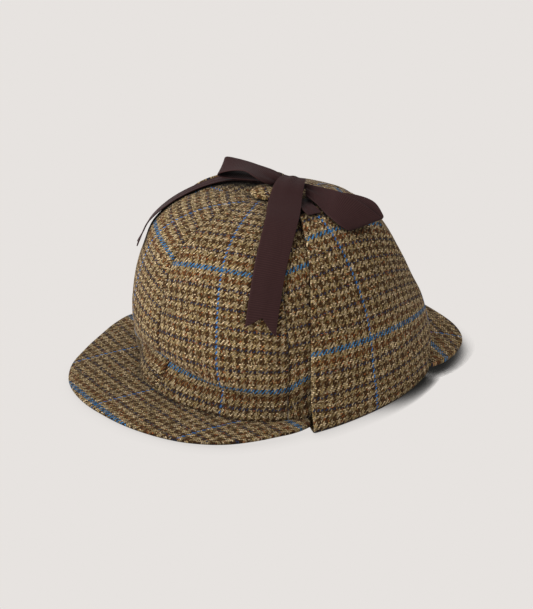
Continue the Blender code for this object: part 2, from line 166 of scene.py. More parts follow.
# Each peak's outline: how far it reaches out of the rim at an angle round the crown.
PeakEdge = namedtuple("PeakEdge", "angle depth")
PEAK_OUTLINES = {
    "front_peak": (
        PeakEdge(-72.0, 4.0),
        PeakEdge(-70.5, 10.0),
        PeakEdge(-67.0, 16.3),
        PeakEdge(-60.0, 19.2),
        PeakEdge(-50.0, 22.6),
        PeakEdge(-40.0, 29.4),
        PeakEdge(-30.0, 37.8),
        PeakEdge(-20.0, 42.8),
        PeakEdge(-10.0, 42.8),
        PeakEdge(0.0, 39.5),
        PeakEdge(12.0, 34.5),
        PeakEdge(24.0, 29.6),
        PeakEdge(36.0, 24.0),
        PeakEdge(46.0, 17.8),
        PeakEdge(54.0, 13.0),
        PeakEdge(60.0, 10.4),
        PeakEdge(64.0, 8.2),
        PeakEdge(68.2, 5.0),
    ),
    "back_peak": (
        PeakEdge(-231.0, 8.5),
        PeakEdge(-225.0, 17.0),
        PeakEdge(-215.0, 26.5),
        PeakEdge(-208.0, 30.4),
        PeakEdge(-200.0, 30.6),
        PeakEdge(-190.0, 27.8),
        PeakEdge(-180.0, 26.0),
        PeakEdge(-170.0, 27.8),
        PeakEdge(-160.0, 30.6),
        PeakEdge(-152.0, 30.4),
        PeakEdge(-145.0, 25.0),
        PeakEdge(-136.0, 13.5),
        PeakEdge(-132.8, 7.0),
    ),
}

# --- ear flaps --------------------------------------------------------------------------
FLAP_THICK = 2.2
FLAP_WIDTH = 130.0
FLAP_ROOT_INSET = 2.5
FLAP_ROOT_TOP = 6.5
FOLD_HEIGHT = 2.8
FOLD_CORNER = 1.8
FOLD_BACK = 125.0
FLAP_RIPPLE = 0.25
FLAP_RIPPLE_SIZE = 18.0
FLAP_RIPPLE_START = 3.0

# The flap's front and back edge at a height over the rim, and how far it stands off the
# crown at its front, middle and back.
FlapRow = namedtuple("FlapRow", "height front back stand_front stand_middle stand_back")
FLAP_ROWS = (
    FlapRow(0.0, 68.5, 129.0, 8.8, 4.6, 5.4),
    FlapRow(6.0, 68.5, 137.0, 8.9, 5.4, 7.6),
    FlapRow(13.0, 68.5, 142.0, 7.8, 6.2, 9.0),
    FlapRow(24.0, 68.3, 145.0, 4.8, 6.2, 8.4),
    FlapRow(40.0, 68.5, 144.5, 2.6, 4.6, 5.8),
    FlapRow(56.0, 69.0, 142.5, 1.9, 3.4, 3.2),
    FlapRow(72.0, 70.5, 140.5, 1.6, 2.6, 2.2),
    FlapRow(86.0, 73.0, 139.5, 1.5, 2.4, 2.2),
    FlapRow(97.0, 76.0, 137.5, 1.5, 2.4, 2.6),
    FlapRow(105.0, 78.5, 133.5, 1.7, 2.5, 2.5),
    FlapRow(111.0, 82.0, 127.0, 2.5, 2.5, 2.5),
    FlapRow(115.3, 89.0, 114.0, 2.5, 2.5, 2.5),
)

# The side a flap is on, how much of its front edge is trimmed, and how much closer to the
# crown its top is pressed.
Flap = namedtuple("Flap", "name side trim press")
FLAPS = (
    Flap("left_ear_flap", 1, 0.0, 0.0),
    Flap("right_ear_flap", -1, 5.5, 0.34),
)

# --- button, knot and ribbon ------------------------------------------------------------
# The button's profile as radius and height, from its top down and in underneath.
BUTTON_PROFILE = (
    (0.0, 5.2), (2.6, 5.05), (5.0, 4.6), (7.2, 3.8), (8.8, 2.8), (9.7, 1.8), (9.9, 1.0),
    (9.5, 0.3), (8.8, 0.0), (4.0, 0.05), (0.0, 0.1),
)
BUTTON_GAP = 0.4
BUTTON_SWELL = 1.06
BUTTON_SHIFT = (1.3, 1.2, 0.0)
# Its cloth is gathered underneath, and has its grain turned by an angle in radians.
BUTTON_GATHERS = 7.0
BUTTON_GATHER_DEPTH = 0.012
BUTTON_GRAIN = 0.4
BUTTON_CLOTH_STEP = 0.4

# The knot is a rounded box, squarer the further KNOT_BOXY is below 1, with folds round it.
KNOT_CENTRE = (12.0, 6.0, 131.2)
KNOT_SIZE = (15.5, 14.5, 8.6)
KNOT_TURN = 25.0
KNOT_BOXY = 0.72
KNOT_FOLDS = 4.2
KNOT_FOLD_START = 0.8
KNOT_FOLD_DEPTH = 0.07

RIBBON_THICK = 0.8
RIBBON_WIDTH = 22.0
PLEAT_SHIFT = 0.6

# How a ribbon is finished: how much its end is notched and slanted, as shares of its length,
# how far it arches across its width, and how deep its pleats are where it is narrowed. A
# tail's notch is 0.4 of the step between two rows of its table.
Drape = namedtuple("Drape", "notch slant arch pleats")
TIE_DRAPE = Drape(0.0, 0.0, 0.0, 0.3)
LOOP_DRAPE = Drape(0.0, 0.0, 0.4, 1.8)
TAIL_DRAPES = {
    "ribbon_tail_front": Drape(0.4 / 9.0, 0.024, 0.5, 1.0),
    "ribbon_tail_side": Drape(0.4 / 12.0, 0.0, 0.0, 1.0),
}

# A ribbon that lies on the crown: its middle in plan, how far it stands off the crown, and
# its width.
Lay = namedtuple("Lay", "x y stand width")
TAILS = {
    "ribbon_tail_front": (
        Lay(9.5, 8.5, 11.4, 15.0),
        Lay(13.0, 3.0, 11.8, 18.0),
        Lay(17.0, -2.5, 10.4, 20.0),
        Lay(21.0, -7.5, 7.2, 21.0),
        Lay(28.0, -14.5, 5.2, 22.0),
        Lay(37.4, -23.7, 4.6, 21.4),
        Lay(49.2, -37.9, 2.6, 20.8),
        Lay(58.8, -50.8, 1.6, 20.4),
        Lay(63.3, -57.5, 1.6, 20.4),
        Lay(66.6, -63.6, 1.8, 20.4),
    ),
    "ribbon_tail_side": (
        Lay(3.5, 9.0, 2.8, 10.0),
        Lay(-5.0, 7.0, 2.8, 12.0),
        Lay(-13.0, 3.0, 2.8, 14.0),
        Lay(-25.4, -5.2, 3.2, 15.0),
        Lay(-37.2, -13.8, 2.2, 15.0),
        Lay(-45.4, -24.4, 1.1, 15.0),
        Lay(-49.2, -35.0, 0.9, 16.5),
        Lay(-51.4, -43.4, 0.9, 19.0),
        Lay(-51.8, -50.4, 1.0, 21.0),
        Lay(-51.8, -56.6, 1.5, 22.0),
        Lay(-51.8, -62.0, 2.2, 22.0),
        Lay(-51.0, -66.8, 2.8, 22.0),
        Lay(-51.0, -71.0, 3.8, 22.0),
    ),
}
TIES = {
    "left_flap_tie": (
        Lay(42.5, -1.8, 4.9, 10.5),
        Lay(38.5, -1.4, 4.8, 11.0),
        Lay(33.5, -0.4, 4.0, 10.5),
        Lay(27.5, 2.0, 2.4, 11.5),
        Lay(21.5, 4.5, 1.6, 11.0),
    ),
    "right_flap_tie": (
        Lay(-29.0, 1.5, 1.2, 11.0),
        Lay(-23.0, 8.5, 1.1, 13.0),
        Lay(-12.0, 15.0, 1.1, 14.0),
        Lay(2.0, 13.5, 1.4, 11.0),
    ),
}

# A loop of the bow: its middle, the heading and slope of its width, and that width.
Loop = namedtuple("Loop", "x y z turn slope width")
LOOPS = {
    "bow_loop_front": (
        Loop(2.5, 1.5, 133.0, 96.0, 8.0, 12.0),
        Loop(-2.0, -2.0, 135.6, 112.0, 2.0, 18.0),
        Loop(-10.0, -6.0, 137.8, 127.0, -6.0, 22.0),
        Loop(-20.0, -8.0, 138.4, 135.0, -8.0, 22.0),
        Loop(-30.0, -11.5, 137.2, 135.0, -2.0, 22.0),
        Loop(-37.0, -14.6, 135.2, 131.0, 6.0, 22.0),
        Loop(-38.8, -15.0, 133.0, 130.0, 5.0, 22.0),
        Loop(-37.0, -13.6, 131.4, 128.0, 4.0, 21.5),
        Loop(-30.0, -9.0, 130.4, 122.0, 0.0, 20.5),
        Loop(-18.0, -2.0, 130.6, 114.0, -2.0, 18.5),
        Loop(-7.0, 3.5, 130.9, 104.0, 0.0, 14.0),
        Loop(2.0, 5.5, 130.9, 96.0, 0.0, 11.0),
    ),
    "bow_loop_back": (
        Loop(20.5, 9.5, 130.8, 145.0, 12.0, 13.0),
        Loop(29.0, 13.0, 129.0, 138.0, 12.0, 19.0),
        Loop(37.0, 14.5, 128.0, 128.0, 17.0, 22.0),
        Loop(45.0, 15.5, 127.5, 118.0, 22.0, 22.5),
        Loop(55.0, 19.5, 123.6, 100.0, 15.0, 25.0),
        Loop(62.0, 24.0, 118.6, 85.0, 5.0, 27.0),
        Loop(63.2, 26.2, 117.4, 84.0, 5.0, 27.0),
        Loop(61.0, 28.8, 117.8, 88.0, 9.0, 26.0),
        Loop(52.5, 31.5, 121.4, 98.0, 13.0, 24.0),
        Loop(41.0, 29.5, 124.0, 106.0, 9.0, 20.0),
        Loop(30.0, 21.5, 126.2, 112.0, 6.0, 16.0),
        Loop(20.5, 14.0, 127.8, 122.0, 6.0, 12.0),
    ),
}

# Skew tips its lengthwise lines; lean tips its cross lines low on the crown, about a line
# at pivot. Give and bow ease the cloth across and along behind the straight grain.
Cut = namedtuple("Cut", "grain across along skew lean pivot give bow", defaults=(0.0,) * 5)
GORE_CUTS = {
    "front_left": Cut(30.0, 30.1, 11.3),
    "side_left": Cut(90.0, 31.2, 7.0, 0.0, -0.6, -41.3),
    "back_left": Cut(150.0, 5.0, -12.0),
    "back_right": Cut(210.0, -8.0, -40.0),
    "side_right": Cut(270.0, 16.0, -22.0),
    "front_right": Cut(330.0, 24.0, 8.0),
}
FLAP_CUTS = {
    "left_ear_flap": Cut(90.0, 26.8, 60.8, -0.022, 0.0, 0.0, 0.27, 0.107),
    "right_ear_flap": Cut(270.0, 6.0, -30.0),
}

# How far a step in x or y moves a peak's cloth across and along, and where it starts.
Grain = namedtuple("Grain", "across_x across_y along_x along_y across along")
PEAK_GRAINS = {
    "front_peak": Grain(1.0, -0.287, 0.0, 1.0, 7.1, 20.3),
    "back_peak": Grain(0.62, -0.78, 0.37, 0.93, 16.7, 11.5),
}
PEAK_BOW = 0.001

# The crown taken as a ball of cloth, and the cloth that is eased in low on the crown.
CLOTH_RADIUS = 97.5
BAND_EASE = 6.0
EASE_FROM = 55.0
EASE_SPAN = 35.0

# --- the weave, in yarns ----------------------------------------------------------------
# Ends are the warp's yarns and picks the weft's; both are counted from 0 in each check. A
# band is four light and four dark yarns, and the twill repeats every four.
END_WIDTH = 0.65
PICK_WIDTH = 0.80
CHECK_YARNS = 96.0
BAND_YARNS = 8.0
DARK_FROM = 3.5
TWILL_STEPS = 4.0

# Coloured lines, in yarns: their middle, half their width, and how strong they are.
Line = namedtuple("Line", "middle half share")
BLUE_END = Line(47.5, 0.8, 1.0)
BLUE_PICK = Line(45.5, 2.0, 1.0)
NAVY_EVERY = 16.0
NAVY_PICK = Line(13.5, 1.1, 1.0)
# Rust lies to both sides of the blue, so its middle is counted from the blue line's.
RUST_END = Line(6.5, 0.9, 0.25)
RUST_PICK = Line(8.0, 2.6, 0.22)

# Stray wool: the share of floats that are odd, and how strongly.
STRAY_WOOL = 0.10
STRAY_STRENGTH = 0.7
FLECK_WOOL = 0.044
FLECK_STRENGTH = 0.6
CREAM_RARITY = 1.5
KHAKI_IN_BROWN = 0.08

# Uneven tone, float by float and in patches, and how the yarns wander: the picks by the
# same soft noise as the ends, read some way aside.
TONE_SPREAD = 0.80
TONE_LEAST = 0.52
PATCH_SPREAD = 0.30
PATCH_SCALE = 0.06
WANDER_SCALE = 0.22
ASIDE = 311.0

# A yarn's round form: how much its ends dive, its fibres, and how dark its hollows are and
# how light its top, as painted shade and painted highlight.
YARN_DIVE = 0.6
FIBRE_SCALE = 2.4
FIBRE_SPREAD = 1.6
FIBRE_LEAST = 0.2
YARN_TOP_PAINTED_LIGHT = 1.45
YARN_HOLLOW_PAINTED_SHADE = 0.06

# The ribbon's cross ribs, its selvedge and the fine threads along it, and the painted
# highlight on its raised rib crests.
RIB = 0.95
RIB_PAINTED_HIGHLIGHT = 0.55
SELVEDGE_FROM = 10.1
SELVEDGE_HEIGHT = 0.85
THREAD_TURNS = 14.0
THREAD_DEPTH = 0.06
RIBBON_PATCH_SCALE = 0.35
RIBBON_PATCH_SHARE = 0.25

# --- colours, and how the cloth takes the light -----------------------------------------
CREAM_YARN = (0.76, 0.58, 0.355, 1.0)
KHAKI_YARN = (0.36, 0.245, 0.092, 1.0)
BROWN_YARN = (0.092, 0.042, 0.015, 1.0)
NAVY_YARN = (0.038, 0.042, 0.075, 1.0)
BLUE_YARN = (0.065, 0.28, 0.72, 1.0)
SLATE_YARN = (0.060, 0.205, 0.40, 1.0)
RUST_YARN = (0.42, 0.12, 0.03, 1.0)
RIBBON_BROWN = (0.037, 0.014, 0.014, 1.0)
# The ribbon's light colour is both its paler patches and its painted highlight on the ribs.
RIBBON_PALE_AND_HIGHLIGHT = (0.078, 0.033, 0.032, 1.0)

# How far from a neighbouring surface the cloth darkens with painted shade, and how
# strongly. The stiff band gets painted shade for the crown's own shade over it, most of all
# at its middle.
CREASE_REACH = 9.0
TWEED_CREASE_SHADE = 0.85
RIBBON_FOLD_SHADE = 0.8
BAND_MIDDLE = 14.0
BAND_SPREAD = 12.0

# A finish: depth and strength of its relief, its roughness, and its
# sheen's roughness and colour.
Finish = namedtuple("Finish", "relief strength roughness sheen_roughness sheen_tint")
TWEED_FINISH = Finish(0.25, 0.55, 0.92, 0.45, (0.80, 0.76, 0.70, 1.0))
GROSGRAIN_FINISH = Finish(0.22, 0.7, 0.55, 0.4, (0.75, 0.62, 0.62, 1.0))
GROSGRAIN_SHEEN = 0.05
WOVEN_SPECULAR = 0.15

# How light each tweed is, how woolly its sheen, and how much painted shade it gets on the
# band. The front peak's copy is painted darker, as painted shade, and the back peak's
# lighter, as painted light.
Tweed = namedtuple("Tweed", "tone sheen shaded")
TWEEDS = {
    "crown tweed": Tweed(1.04, 0.15, 0.30),
    "flap tweed": Tweed(1.04, 0.08, 0.0),
    # Painted shade: the front peak's tweed is painted darker than the crown's.
    "front peak tweed painted darker": Tweed(0.84, 0.10, 0.0),
    # Painted light: the back peak's tweed, in the crown's shade, is painted lighter.
    "back peak tweed painted lighter": Tweed(1.32, 0.15, 0.0),
    "button tweed": Tweed(1.3, 0.10, 0.0),
}

# --- floor, light and camera ------------------------------------------------------------
FLOOR_GREY = (0.799, 0.768, 0.745, 1.0)
FLOOR_BOUNCE = 0.65
FLOOR_SIZE = 6.0
ROOM_COLOUR = (1.0, 0.99, 0.98, 1.0)
ROOM_STRENGTH = 0.38
WINDOW_ENERGY = 1.8
WINDOW_SPREAD = 40.0
WINDOW_FROM = (-0.22, -0.79, 0.57)

# The hat's painted contact shadow on the floor: how near the hat it starts, how dark it is
# at its deepest and at its least, where along Y it is deepest, and the way it faces.
SHADOW_GREY = (0.012, 0.012, 0.011, 1.0)
SHADOW_REACH = 10.0
SHADOW_DEPTH = 9.0
SHADOW_LEAST = 0.15
SHADOW_MIDDLE = 82.0
SHADOW_SPREAD = 36.0
SHADOW_TILT = (-0.78, 0.40, 0.48)

# The photograph's view: degrees round from the front and above the floor, how far away the
# camera is, and how far right of the crown's centre and above it the camera aims.
CAMERA_ROUND = 52.0
CAMERA_ABOVE = 29.0
CAMERA_AWAY = 1600.0
CAMERA_AIM = (-5.5, 35.8)
CAMERA_LENS = 137.5
CAMERA_SENSOR = 36.0


# --- smooth tables ----------------------------------------------------------------------
def spline(before, start, end, after, share):
    """Catmull-Rom value between start and end, for numbers and for points."""
    ahead = (end - before) / 2.0
    arrive = (after - start) / 2.0
    square, cube = share * share, share ** 3
    return (
        start * (2 * cube - 3 * square + 1)
        + ahead * (cube - 2 * square + share)
        + end * (3 * square - 2 * cube)
        + arrive * (cube - square)
    )


def around_place(rows, place):
    """The four rows round a fractional place, and the share between the middle two."""
    last = len(rows) - 1
    place = min(max(place, 0.0), float(last))
    index = min(int(place), last - 1)
    return [rows[min(max(index + step, 0), last)] for step in (-1, 0, 1, 2)], place - index


def between_rows(rows, place):
    """The row of a table at a fractional place."""
    around, share = around_place(rows, place)
    return type(rows[0])(*(spline(*values, share) for values in zip(*around)))


def between_points(points, place):
    """The point, or number, of a line of them at a fractional place."""
    around, share = around_place(points, place)
    return spline(*around, share)


def turning_place(low, high, before):
    """The place between two others at which before(place) stops being true."""
    for _ in range(HALVINGS):
        middle = (low + high) / 2.0
        if before(middle):
            low = middle
        else:
            high = middle
    return low


def reaches(points):
    """How far along a line of points each of them lies."""
    lengths = [0.0]
    for near, far in zip(points, points[1:]):
        lengths.append(lengths[-1] + (far - near).length)
    return lengths


def runs(points):
    """The direction that a line of points runs in at each of them."""
    last = len(points) - 1
    return [points[min(at + 1, last)] - points[max(at - 1, 0)] for at in range(last + 1)]


# --- the crown's surface ----------------------------------------------------------------
def to_scene(point):
    """A point in millimetres from the crown's centre, in metres in the hat's frame."""
    return Vector((point[0] + CROWN_CENTRE[0], point[1] + CROWN_CENTRE[1], point[2])) * MM


def heading(angle):
    """Sine and cosine of an angle in degrees."""
    return math.sin(math.radians(angle)), math.cos(math.radians(angle))


@functools.lru_cache(maxsize=None)
def ring_at(place):
    """The crown's ring at a place."""
    return between_rows(RINGS, place)


@functools.lru_cache(maxsize=None)
def place_of_height(height):
    """The place in RINGS at which the crown reaches a height."""
    return turning_place(0.0, APEX_PLACE, lambda at: between_rows(RINGS, at).height < height)


def oval(angle, square, girth):
    """A point on a rounded rectangle, as a share of the rim's girth."""
    side, front = heading(angle)
    x = RIM_HALF_WIDTH * girth * math.copysign(abs(side) ** (2.0 / square), side)
    y = -RIM_HALF_LENGTH * girth * math.copysign(abs(front) ** (2.0 / square), front)
    return x, y


def rim_point(angle, height):
    """A point of the rim's outline, at any height."""
    return Vector((*oval(angle, RINGS[0].square, 1.0), height))


def outward(angle):
    """The level direction out of the rim at an angle."""
    side, front = heading(angle)
    return Vector((side * RIM_HALF_LENGTH, -front * RIM_HALF_WIDTH, 0.0)).normalized()


def turn_between(angle, centre):
    """How far an angle is from another, from -180 to 180 degrees."""
    return (angle - centre + 180.0) % 360.0 - 180.0


def creased(angle, height):
    """How deep the crease above the band is at a place on the crown."""
    angle = turn_between(angle, 0.0)
    if not CREASES[0].angle < angle < CREASES[-1].angle:
        return 0.0
    index = max(i for i in range(len(CREASES) - 1) if CREASES[i].angle <= angle)
    near, far = CREASES[index], CREASES[index + 1]
    crease = between_rows(CREASES, index + (angle - near.angle) / (far.angle - near.angle))
    spread = CREASE_ABOVE if height > crease.height else CREASE_BELOW
    return crease.depth * math.exp(-((height - crease.height) / spread) ** 2)


@functools.lru_cache(maxsize=None)
def pushed_in(angle, height):
    """How far the crown is pushed in at a place, by its crease and its dents."""
    return creased(angle, height) + sum(
        dent.depth * math.exp(
            -(turn_between(angle, dent.angle) / dent.wide) ** 2
            - ((height - dent.height) / dent.tall) ** 2
        )
        for dent in DENTS
    )


def crown_point(angle, place):
    """A point of the crown's outer face at a place in the table of rings."""
    ring = ring_at(place)
    girth = max(ring.girth, 0.0)
    x, y = oval(angle, ring.square, girth)
    bowed = min(1.0, ring.height / RINGS[SHOULDER_PLACE].height) * girth
    puff = GORE_PUFF * bowed * math.sin(math.pi * angle / GORE_SPAN) ** 2
    shift = outward(angle) * (puff - pushed_in(angle, ring.height) * min(1.0, 2.0 * girth))
    return Vector((x + shift.x, y + shift.y - ring.lean, RIM_HEIGHT + ring.height))


def crown_normal(angle, place):
    """The crown's outward normal, from points a little to each side of a place."""
    along = crown_point(angle + NORMAL_TURN, place) - crown_point(angle - NORMAL_TURN, place)
    up = crown_point(angle, place + NORMAL_RISE) - crown_point(angle, place - NORMAL_RISE)
    return along.cross(up).normalized()


def crown_under(x, y):
    """Angle and place of the crown's surface below a point of the plan."""
    def inside(place):
        ring = between_rows(RINGS, place)
        reach = math.hypot(x / RIM_HALF_WIDTH, (y + ring.lean) / RIM_HALF_LENGTH)
        return reach / max(ring.girth, 1e-6) < 1.0

    place = turning_place(float(SHOULDER_PLACE), APEX_PLACE, inside)
    lean = between_rows(RINGS, place).lean
    angle = math.degrees(math.atan2(x / RIM_HALF_WIDTH, -(y + lean) / RIM_HALF_LENGTH))
    return angle, place


@functools.lru_cache(maxsize=None)
def climb(place):
    """Length of cloth from the peak seam up the crown to a place in the rings."""
    pieces = max(1, math.ceil(place * CLIMB_STEPS))
    rings = [ring_at(place * step / pieces) for step in range(pieces + 1)]
    return sum(
        math.hypot((upper.girth - lower.girth) * CLOTH_RADIUS, upper.height - lower.height)
        for lower, upper in zip(rings, rings[1:])
    )


def cloth_place(angle, climbed, girth, cut):
    """Where a point of the crown lies in cloth whose straight grain runs up at cut.grain."""
    turn = math.radians(turn_between(angle, cut.grain))
    from_top = min((climb(APEX_PLACE) - climbed) / CLOTH_RADIUS, math.pi / 2.0)
    straight = math.atan2(math.sin(from_top) * math.cos(turn), math.cos(from_top))
    along = climbed + CLOTH_RADIUS * (from_top - straight)
    across = CLOTH_RADIUS * math.asin(max(-1.0, min(1.0, girth * math.sin(turn))))
    low = max(0.0, min(1.0, (EASE_FROM - climbed) / EASE_SPAN))
    tipped = low * (BAND_EASE + cut.lean * (across - cut.pivot))
    behind = max(0.0, across) ** 2 / CLOTH_RADIUS
    across += cut.across + cut.skew * climbed - cut.give * behind
    return across, along + cut.along + tipped + cut.bow * behind


# --- cloth walls ------------------------------------------------------------------------
def side_steps(count, length, rim):
    """Shares along a side: three close steps round each rolled edge, even steps between."""
    first = rim / length
    curl = [first * step for step in CURL_STEPS]
    middle = count - 2 * len(curl)
    even = [first + (1.0 - 2.0 * first) * step / middle for step in range(middle + 1)]
    return curl + even + [1.0 - step for step in reversed(curl)]


def roll(share, length, rim):
    """Half-thickness of a rolled edge as a share of the full one."""
    from_edge = min(share, 1.0 - share) * length
    if from_edge >= rim:
        return 1.0
    return math.sqrt(max(0.0, 1.0 - (1.0 - from_edge / rim) ** 2))


def mark_cloth(sheet, places):
    """Note on a mesh where each of its points lies in the uncut cloth."""
    layer = sheet.loops.layers.uv.new("cloth")
    for face in sheet.faces:
        for corner in face.loops:
            corner[layer].uv = places[corner.vert]


def cloth_wall(name, cells, size, thick, middle, cloth, finish, lift=0.0):
    """A sheet of cloth with rolled edges.

    middle(u, v) is a point of its middle layer and cloth(u, v) the place in the uncut
    cloth; size is its width and length, and lift moves it along its own normal.
    """
    columns, rows = cells
    rim = thick / 2.0
    across = side_steps(columns, size[0], rim)
    along = side_steps(rows, size[1], rim)
    centre = [[Vector(middle(u, v)) for v in along] for u in across]

    sheet = bmesh.new()
    bmesh.ops.create_grid(sheet, x_segments=columns, y_segments=rows, size=0.5)
    front = list(sheet.verts)
    cell = {
        vert: (round((vert.co.x + 0.5) * columns), round((vert.co.y + 0.5) * rows))
        for vert in front
    }
    mark_cloth(sheet, {
        vert: cloth(across[column], along[row]) for vert, (column, row) in cell.items()})
    copied = bmesh.ops.duplicate(sheet, geom=front + list(sheet.edges) + list(sheet.faces))
    turned = [item for item in copied["geom"] if isinstance(item, bmesh.types.BMFace)]
    bmesh.ops.reverse_faces(sheet, faces=turned)
    for vert in front:
        column, row = cell[vert]
        left, right = centre[max(column - 1, 0)][row], centre[min(column + 1, columns)][row]
        below, above = centre[column][max(row - 1, 0)], centre[column][min(row + 1, rows)]
        normal = (right - left).cross(above - below).normalized()
        half = rim * roll(across[column], size[0], rim) * roll(along[row], size[1], rim)
        base = centre[column][row] + normal * lift
        vert.co = to_scene(base + normal * half)
        copied["vert_map"][vert].co = to_scene(base - normal * half)
    bmesh.ops.remove_doubles(sheet, verts=list(sheet.verts), dist=MERGE_WITHIN)
    return finished(name, sheet, finish)


def finished(name, sheet, finish):
    """The finished piece of a mesh, in the scene and with its material."""
    mesh = bpy.data.meshes.new(name)
    sheet.to_mesh(mesh)
    sheet.free()
    mesh.materials.append(finish)
    mesh.shade_smooth()
    piece = bpy.data.objects.new(name, mesh)
    bpy.context.scene.collection.objects.link(piece)
    return piece


def stands_for(piece, node):
    """Let a piece take the place of its CAD solid."""
    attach(piece, "root")
    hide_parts(node)
    return piece


# --- crown gores ------------------------------------------------------------------------
def wrinkled(point, share, width):
    """How far the cloth stands out at a point: soft wrinkles, and the pull of the seams."""
    waves = WRINKLE * noise.noise(point / WRINKLE_SIZE)
    pucker = PUCKER * noise.noise(point / PUCKER_SIZE)
    from_seam = min(share, 1.0 - share) * width
    pull = SEAM_PULL * math.exp(-(from_seam / SEAM_SPREAD) ** 2)
    near_seam = SEAM_PUCKER * math.exp(-from_seam / SEAM_PUCKER_SPREAD)
    return waves + pucker * (1.0 + near_seam) - pull


def crown_gore(index, name, finish):
    """One of the panels that meet under the button."""
    first = index * GORE_SPAN
    top = APEX_PLACE - TIP_GAP
    width = math.radians(GORE_SPAN) * CLOTH_RADIUS

    def middle(u, v):
        angle, place = first + GORE_SPAN * u, top * v
        point = crown_point(angle, place)
        out = wrinkled(point, u, width * ring_at(place).girth)
        return point + crown_normal(angle, min(place, top - APEX_MARGIN)) * out

    def cloth(u, v):
        angle, place = first + GORE_SPAN * u, top * v
        return cloth_place(angle, climb(place), ring_at(place).girth, GORE_CUTS[name])

    node = "crown_gore_" + name
    piece = cloth_wall(
        "tweed_" + node, GORE_CELLS, (width, climb(APEX_PLACE)), GORE_WALL, middle, cloth,
        finish, lift=-GORE_WALL / 2.0)
    stands_for(piece, node)


# --- peaks ------------------------------------------------------------------------------
def peak(name, finish):
    """A stiff peak under the crown's rim, cloth over board, with a rolled edge."""
    outline, grain = PEAK_OUTLINES[name], PEAK_GRAINS[name]
    root_height = RIM_HEIGHT + PEAK_ROOT_RISE - PEAK_THICK / 2.0
    edge_height = PEAK_EDGE_HEIGHTS[name] + PEAK_THICK / 2.0

    def middle(u, v):
        angle, depth = between_rows(outline, u * (len(outline) - 1))
        share = 1.0 - v
        inset = PEAK_ROOT_INSET + pushed_in(angle, 0.0)
        drop = share * min(1.0, depth / PEAK_FULL_DEPTH)
        camber = PEAK_CAMBER * math.sin(math.pi * share)
        height = root_height + (edge_height - root_height) * drop + camber * drop
        return rim_point(angle, height) + outward(angle) * (share * (depth + inset) - inset)

    def cloth(u, v):
        x, y, _ = middle(u, v)
        across = grain.across_x * x + grain.across_y * y + grain.across
        along = grain.along_x * x + grain.along_y * y + grain.along
        return across, along - PEAK_BOW * x ** 2

    piece = cloth_wall(
        "tweed_" + name, PEAK_CELLS, PEAK_SIZE, PEAK_THICK, middle, cloth, finish)
    stands_for(piece, name)


# --- ear flaps --------------------------------------------------------------------------
def stand_off(row, share):
    """How far a row of a flap stands off the crown, from its front to its back."""
    return (
        row.stand_front * (1.0 - share) * (1.0 - 2.0 * share)
        + row.stand_middle * 4.0 * share * (1.0 - share)
        + row.stand_back * share * (2.0 * share - 1.0)
    )


def fold_section(stand):
    """The bottom fold's points: back edge, distance out of the rim, and height."""
    low = FLAP_THICK / 2.0
    return (
        (FOLD_BACK, -FLAP_ROOT_INSET, FLAP_ROOT_TOP),
        (FOLD_BACK, -FLAP_ROOT_INSET, FOLD_HEIGHT),
        (FOLD_BACK, FOLD_CORNER - FLAP_ROOT_INSET, low),
        (FOLD_BACK, stand - FOLD_CORNER, low),
        ((FOLD_BACK + FLAP_ROWS[0].back) / 2.0, stand, FOLD_HEIGHT),
    )


def flap_column(flap, share):
    """Points and angles up one column of a flap, from its root round the fold."""
    def angle_at(front, back):
        front += flap.trim
        return flap.side * (front + (back - front) * share)

    first, last = FLAP_ROWS[0], FLAP_ROWS[-1]
    points, angles = [], []
    for back, out, height in fold_section(stand_off(first, share)):
        angle = angle_at(first.front, back)
        points.append(rim_point(angle, height) + outward(angle) * out)
        angles.append(angle)
    for row in FLAP_ROWS:
        angle, place = angle_at(row.front, row.back), place_of_height(row.height)
        stand = stand_off(row, share) * (1.0 - flap.press * row.height / last.height)
        normal = crown_normal(angle, max(place, NORMAL_RISE))
        points.append(crown_point(angle, place) + normal * stand)
        angles.append(angle)
    return points, angles


def ear_flap(flap, finish):
    """One flap, folded at the bottom, laid up the crown and gathered under the bow."""
    column_of = functools.lru_cache(maxsize=None)(functools.partial(flap_column, flap))
    lengths = reaches(column_of(0.5)[0])
    total, folded = lengths[-1], lengths[len(fold_section(0.0))]

    @functools.lru_cache(maxsize=None)
    def station(v):
        """The place among a column's points at a share of the flap's length."""
        reach = v * total
        index = max(i for i in range(len(lengths) - 1) if lengths[i] <= reach + 1e-9)
        return index + (reach - lengths[index]) / (lengths[index + 1] - lengths[index])

    def point_and_angle(u, v):
        points, angles = column_of(u if flap.side > 0 else 1.0 - u)
        return between_points(points, station(v)), between_points(angles, station(v))

    def middle(u, v):
        point, angle = point_and_angle(u, v)
        spot = point / FLAP_RIPPLE_SIZE + Vector((FLAP_RIPPLE_START, 0.0, flap.side))
        return point + outward(angle) * (FLAP_RIPPLE * noise.noise(spot))

    def cloth(u, v):
        climbed = v * total - folded
        from_top = (climb(APEX_PLACE) - max(climbed, 0.0)) / CLOTH_RADIUS
        girth = max(0.0, math.sin(min(math.pi / 2.0, from_top)))
        return cloth_place(point_and_angle(u, v)[1], climbed, girth, FLAP_CUTS[flap.name])

    piece = cloth_wall(
        "tweed_" + flap.name, FLAP_CELLS, (FLAP_WIDTH, total), FLAP_THICK, middle, cloth,
        finish)
    stands_for(piece, flap.name)


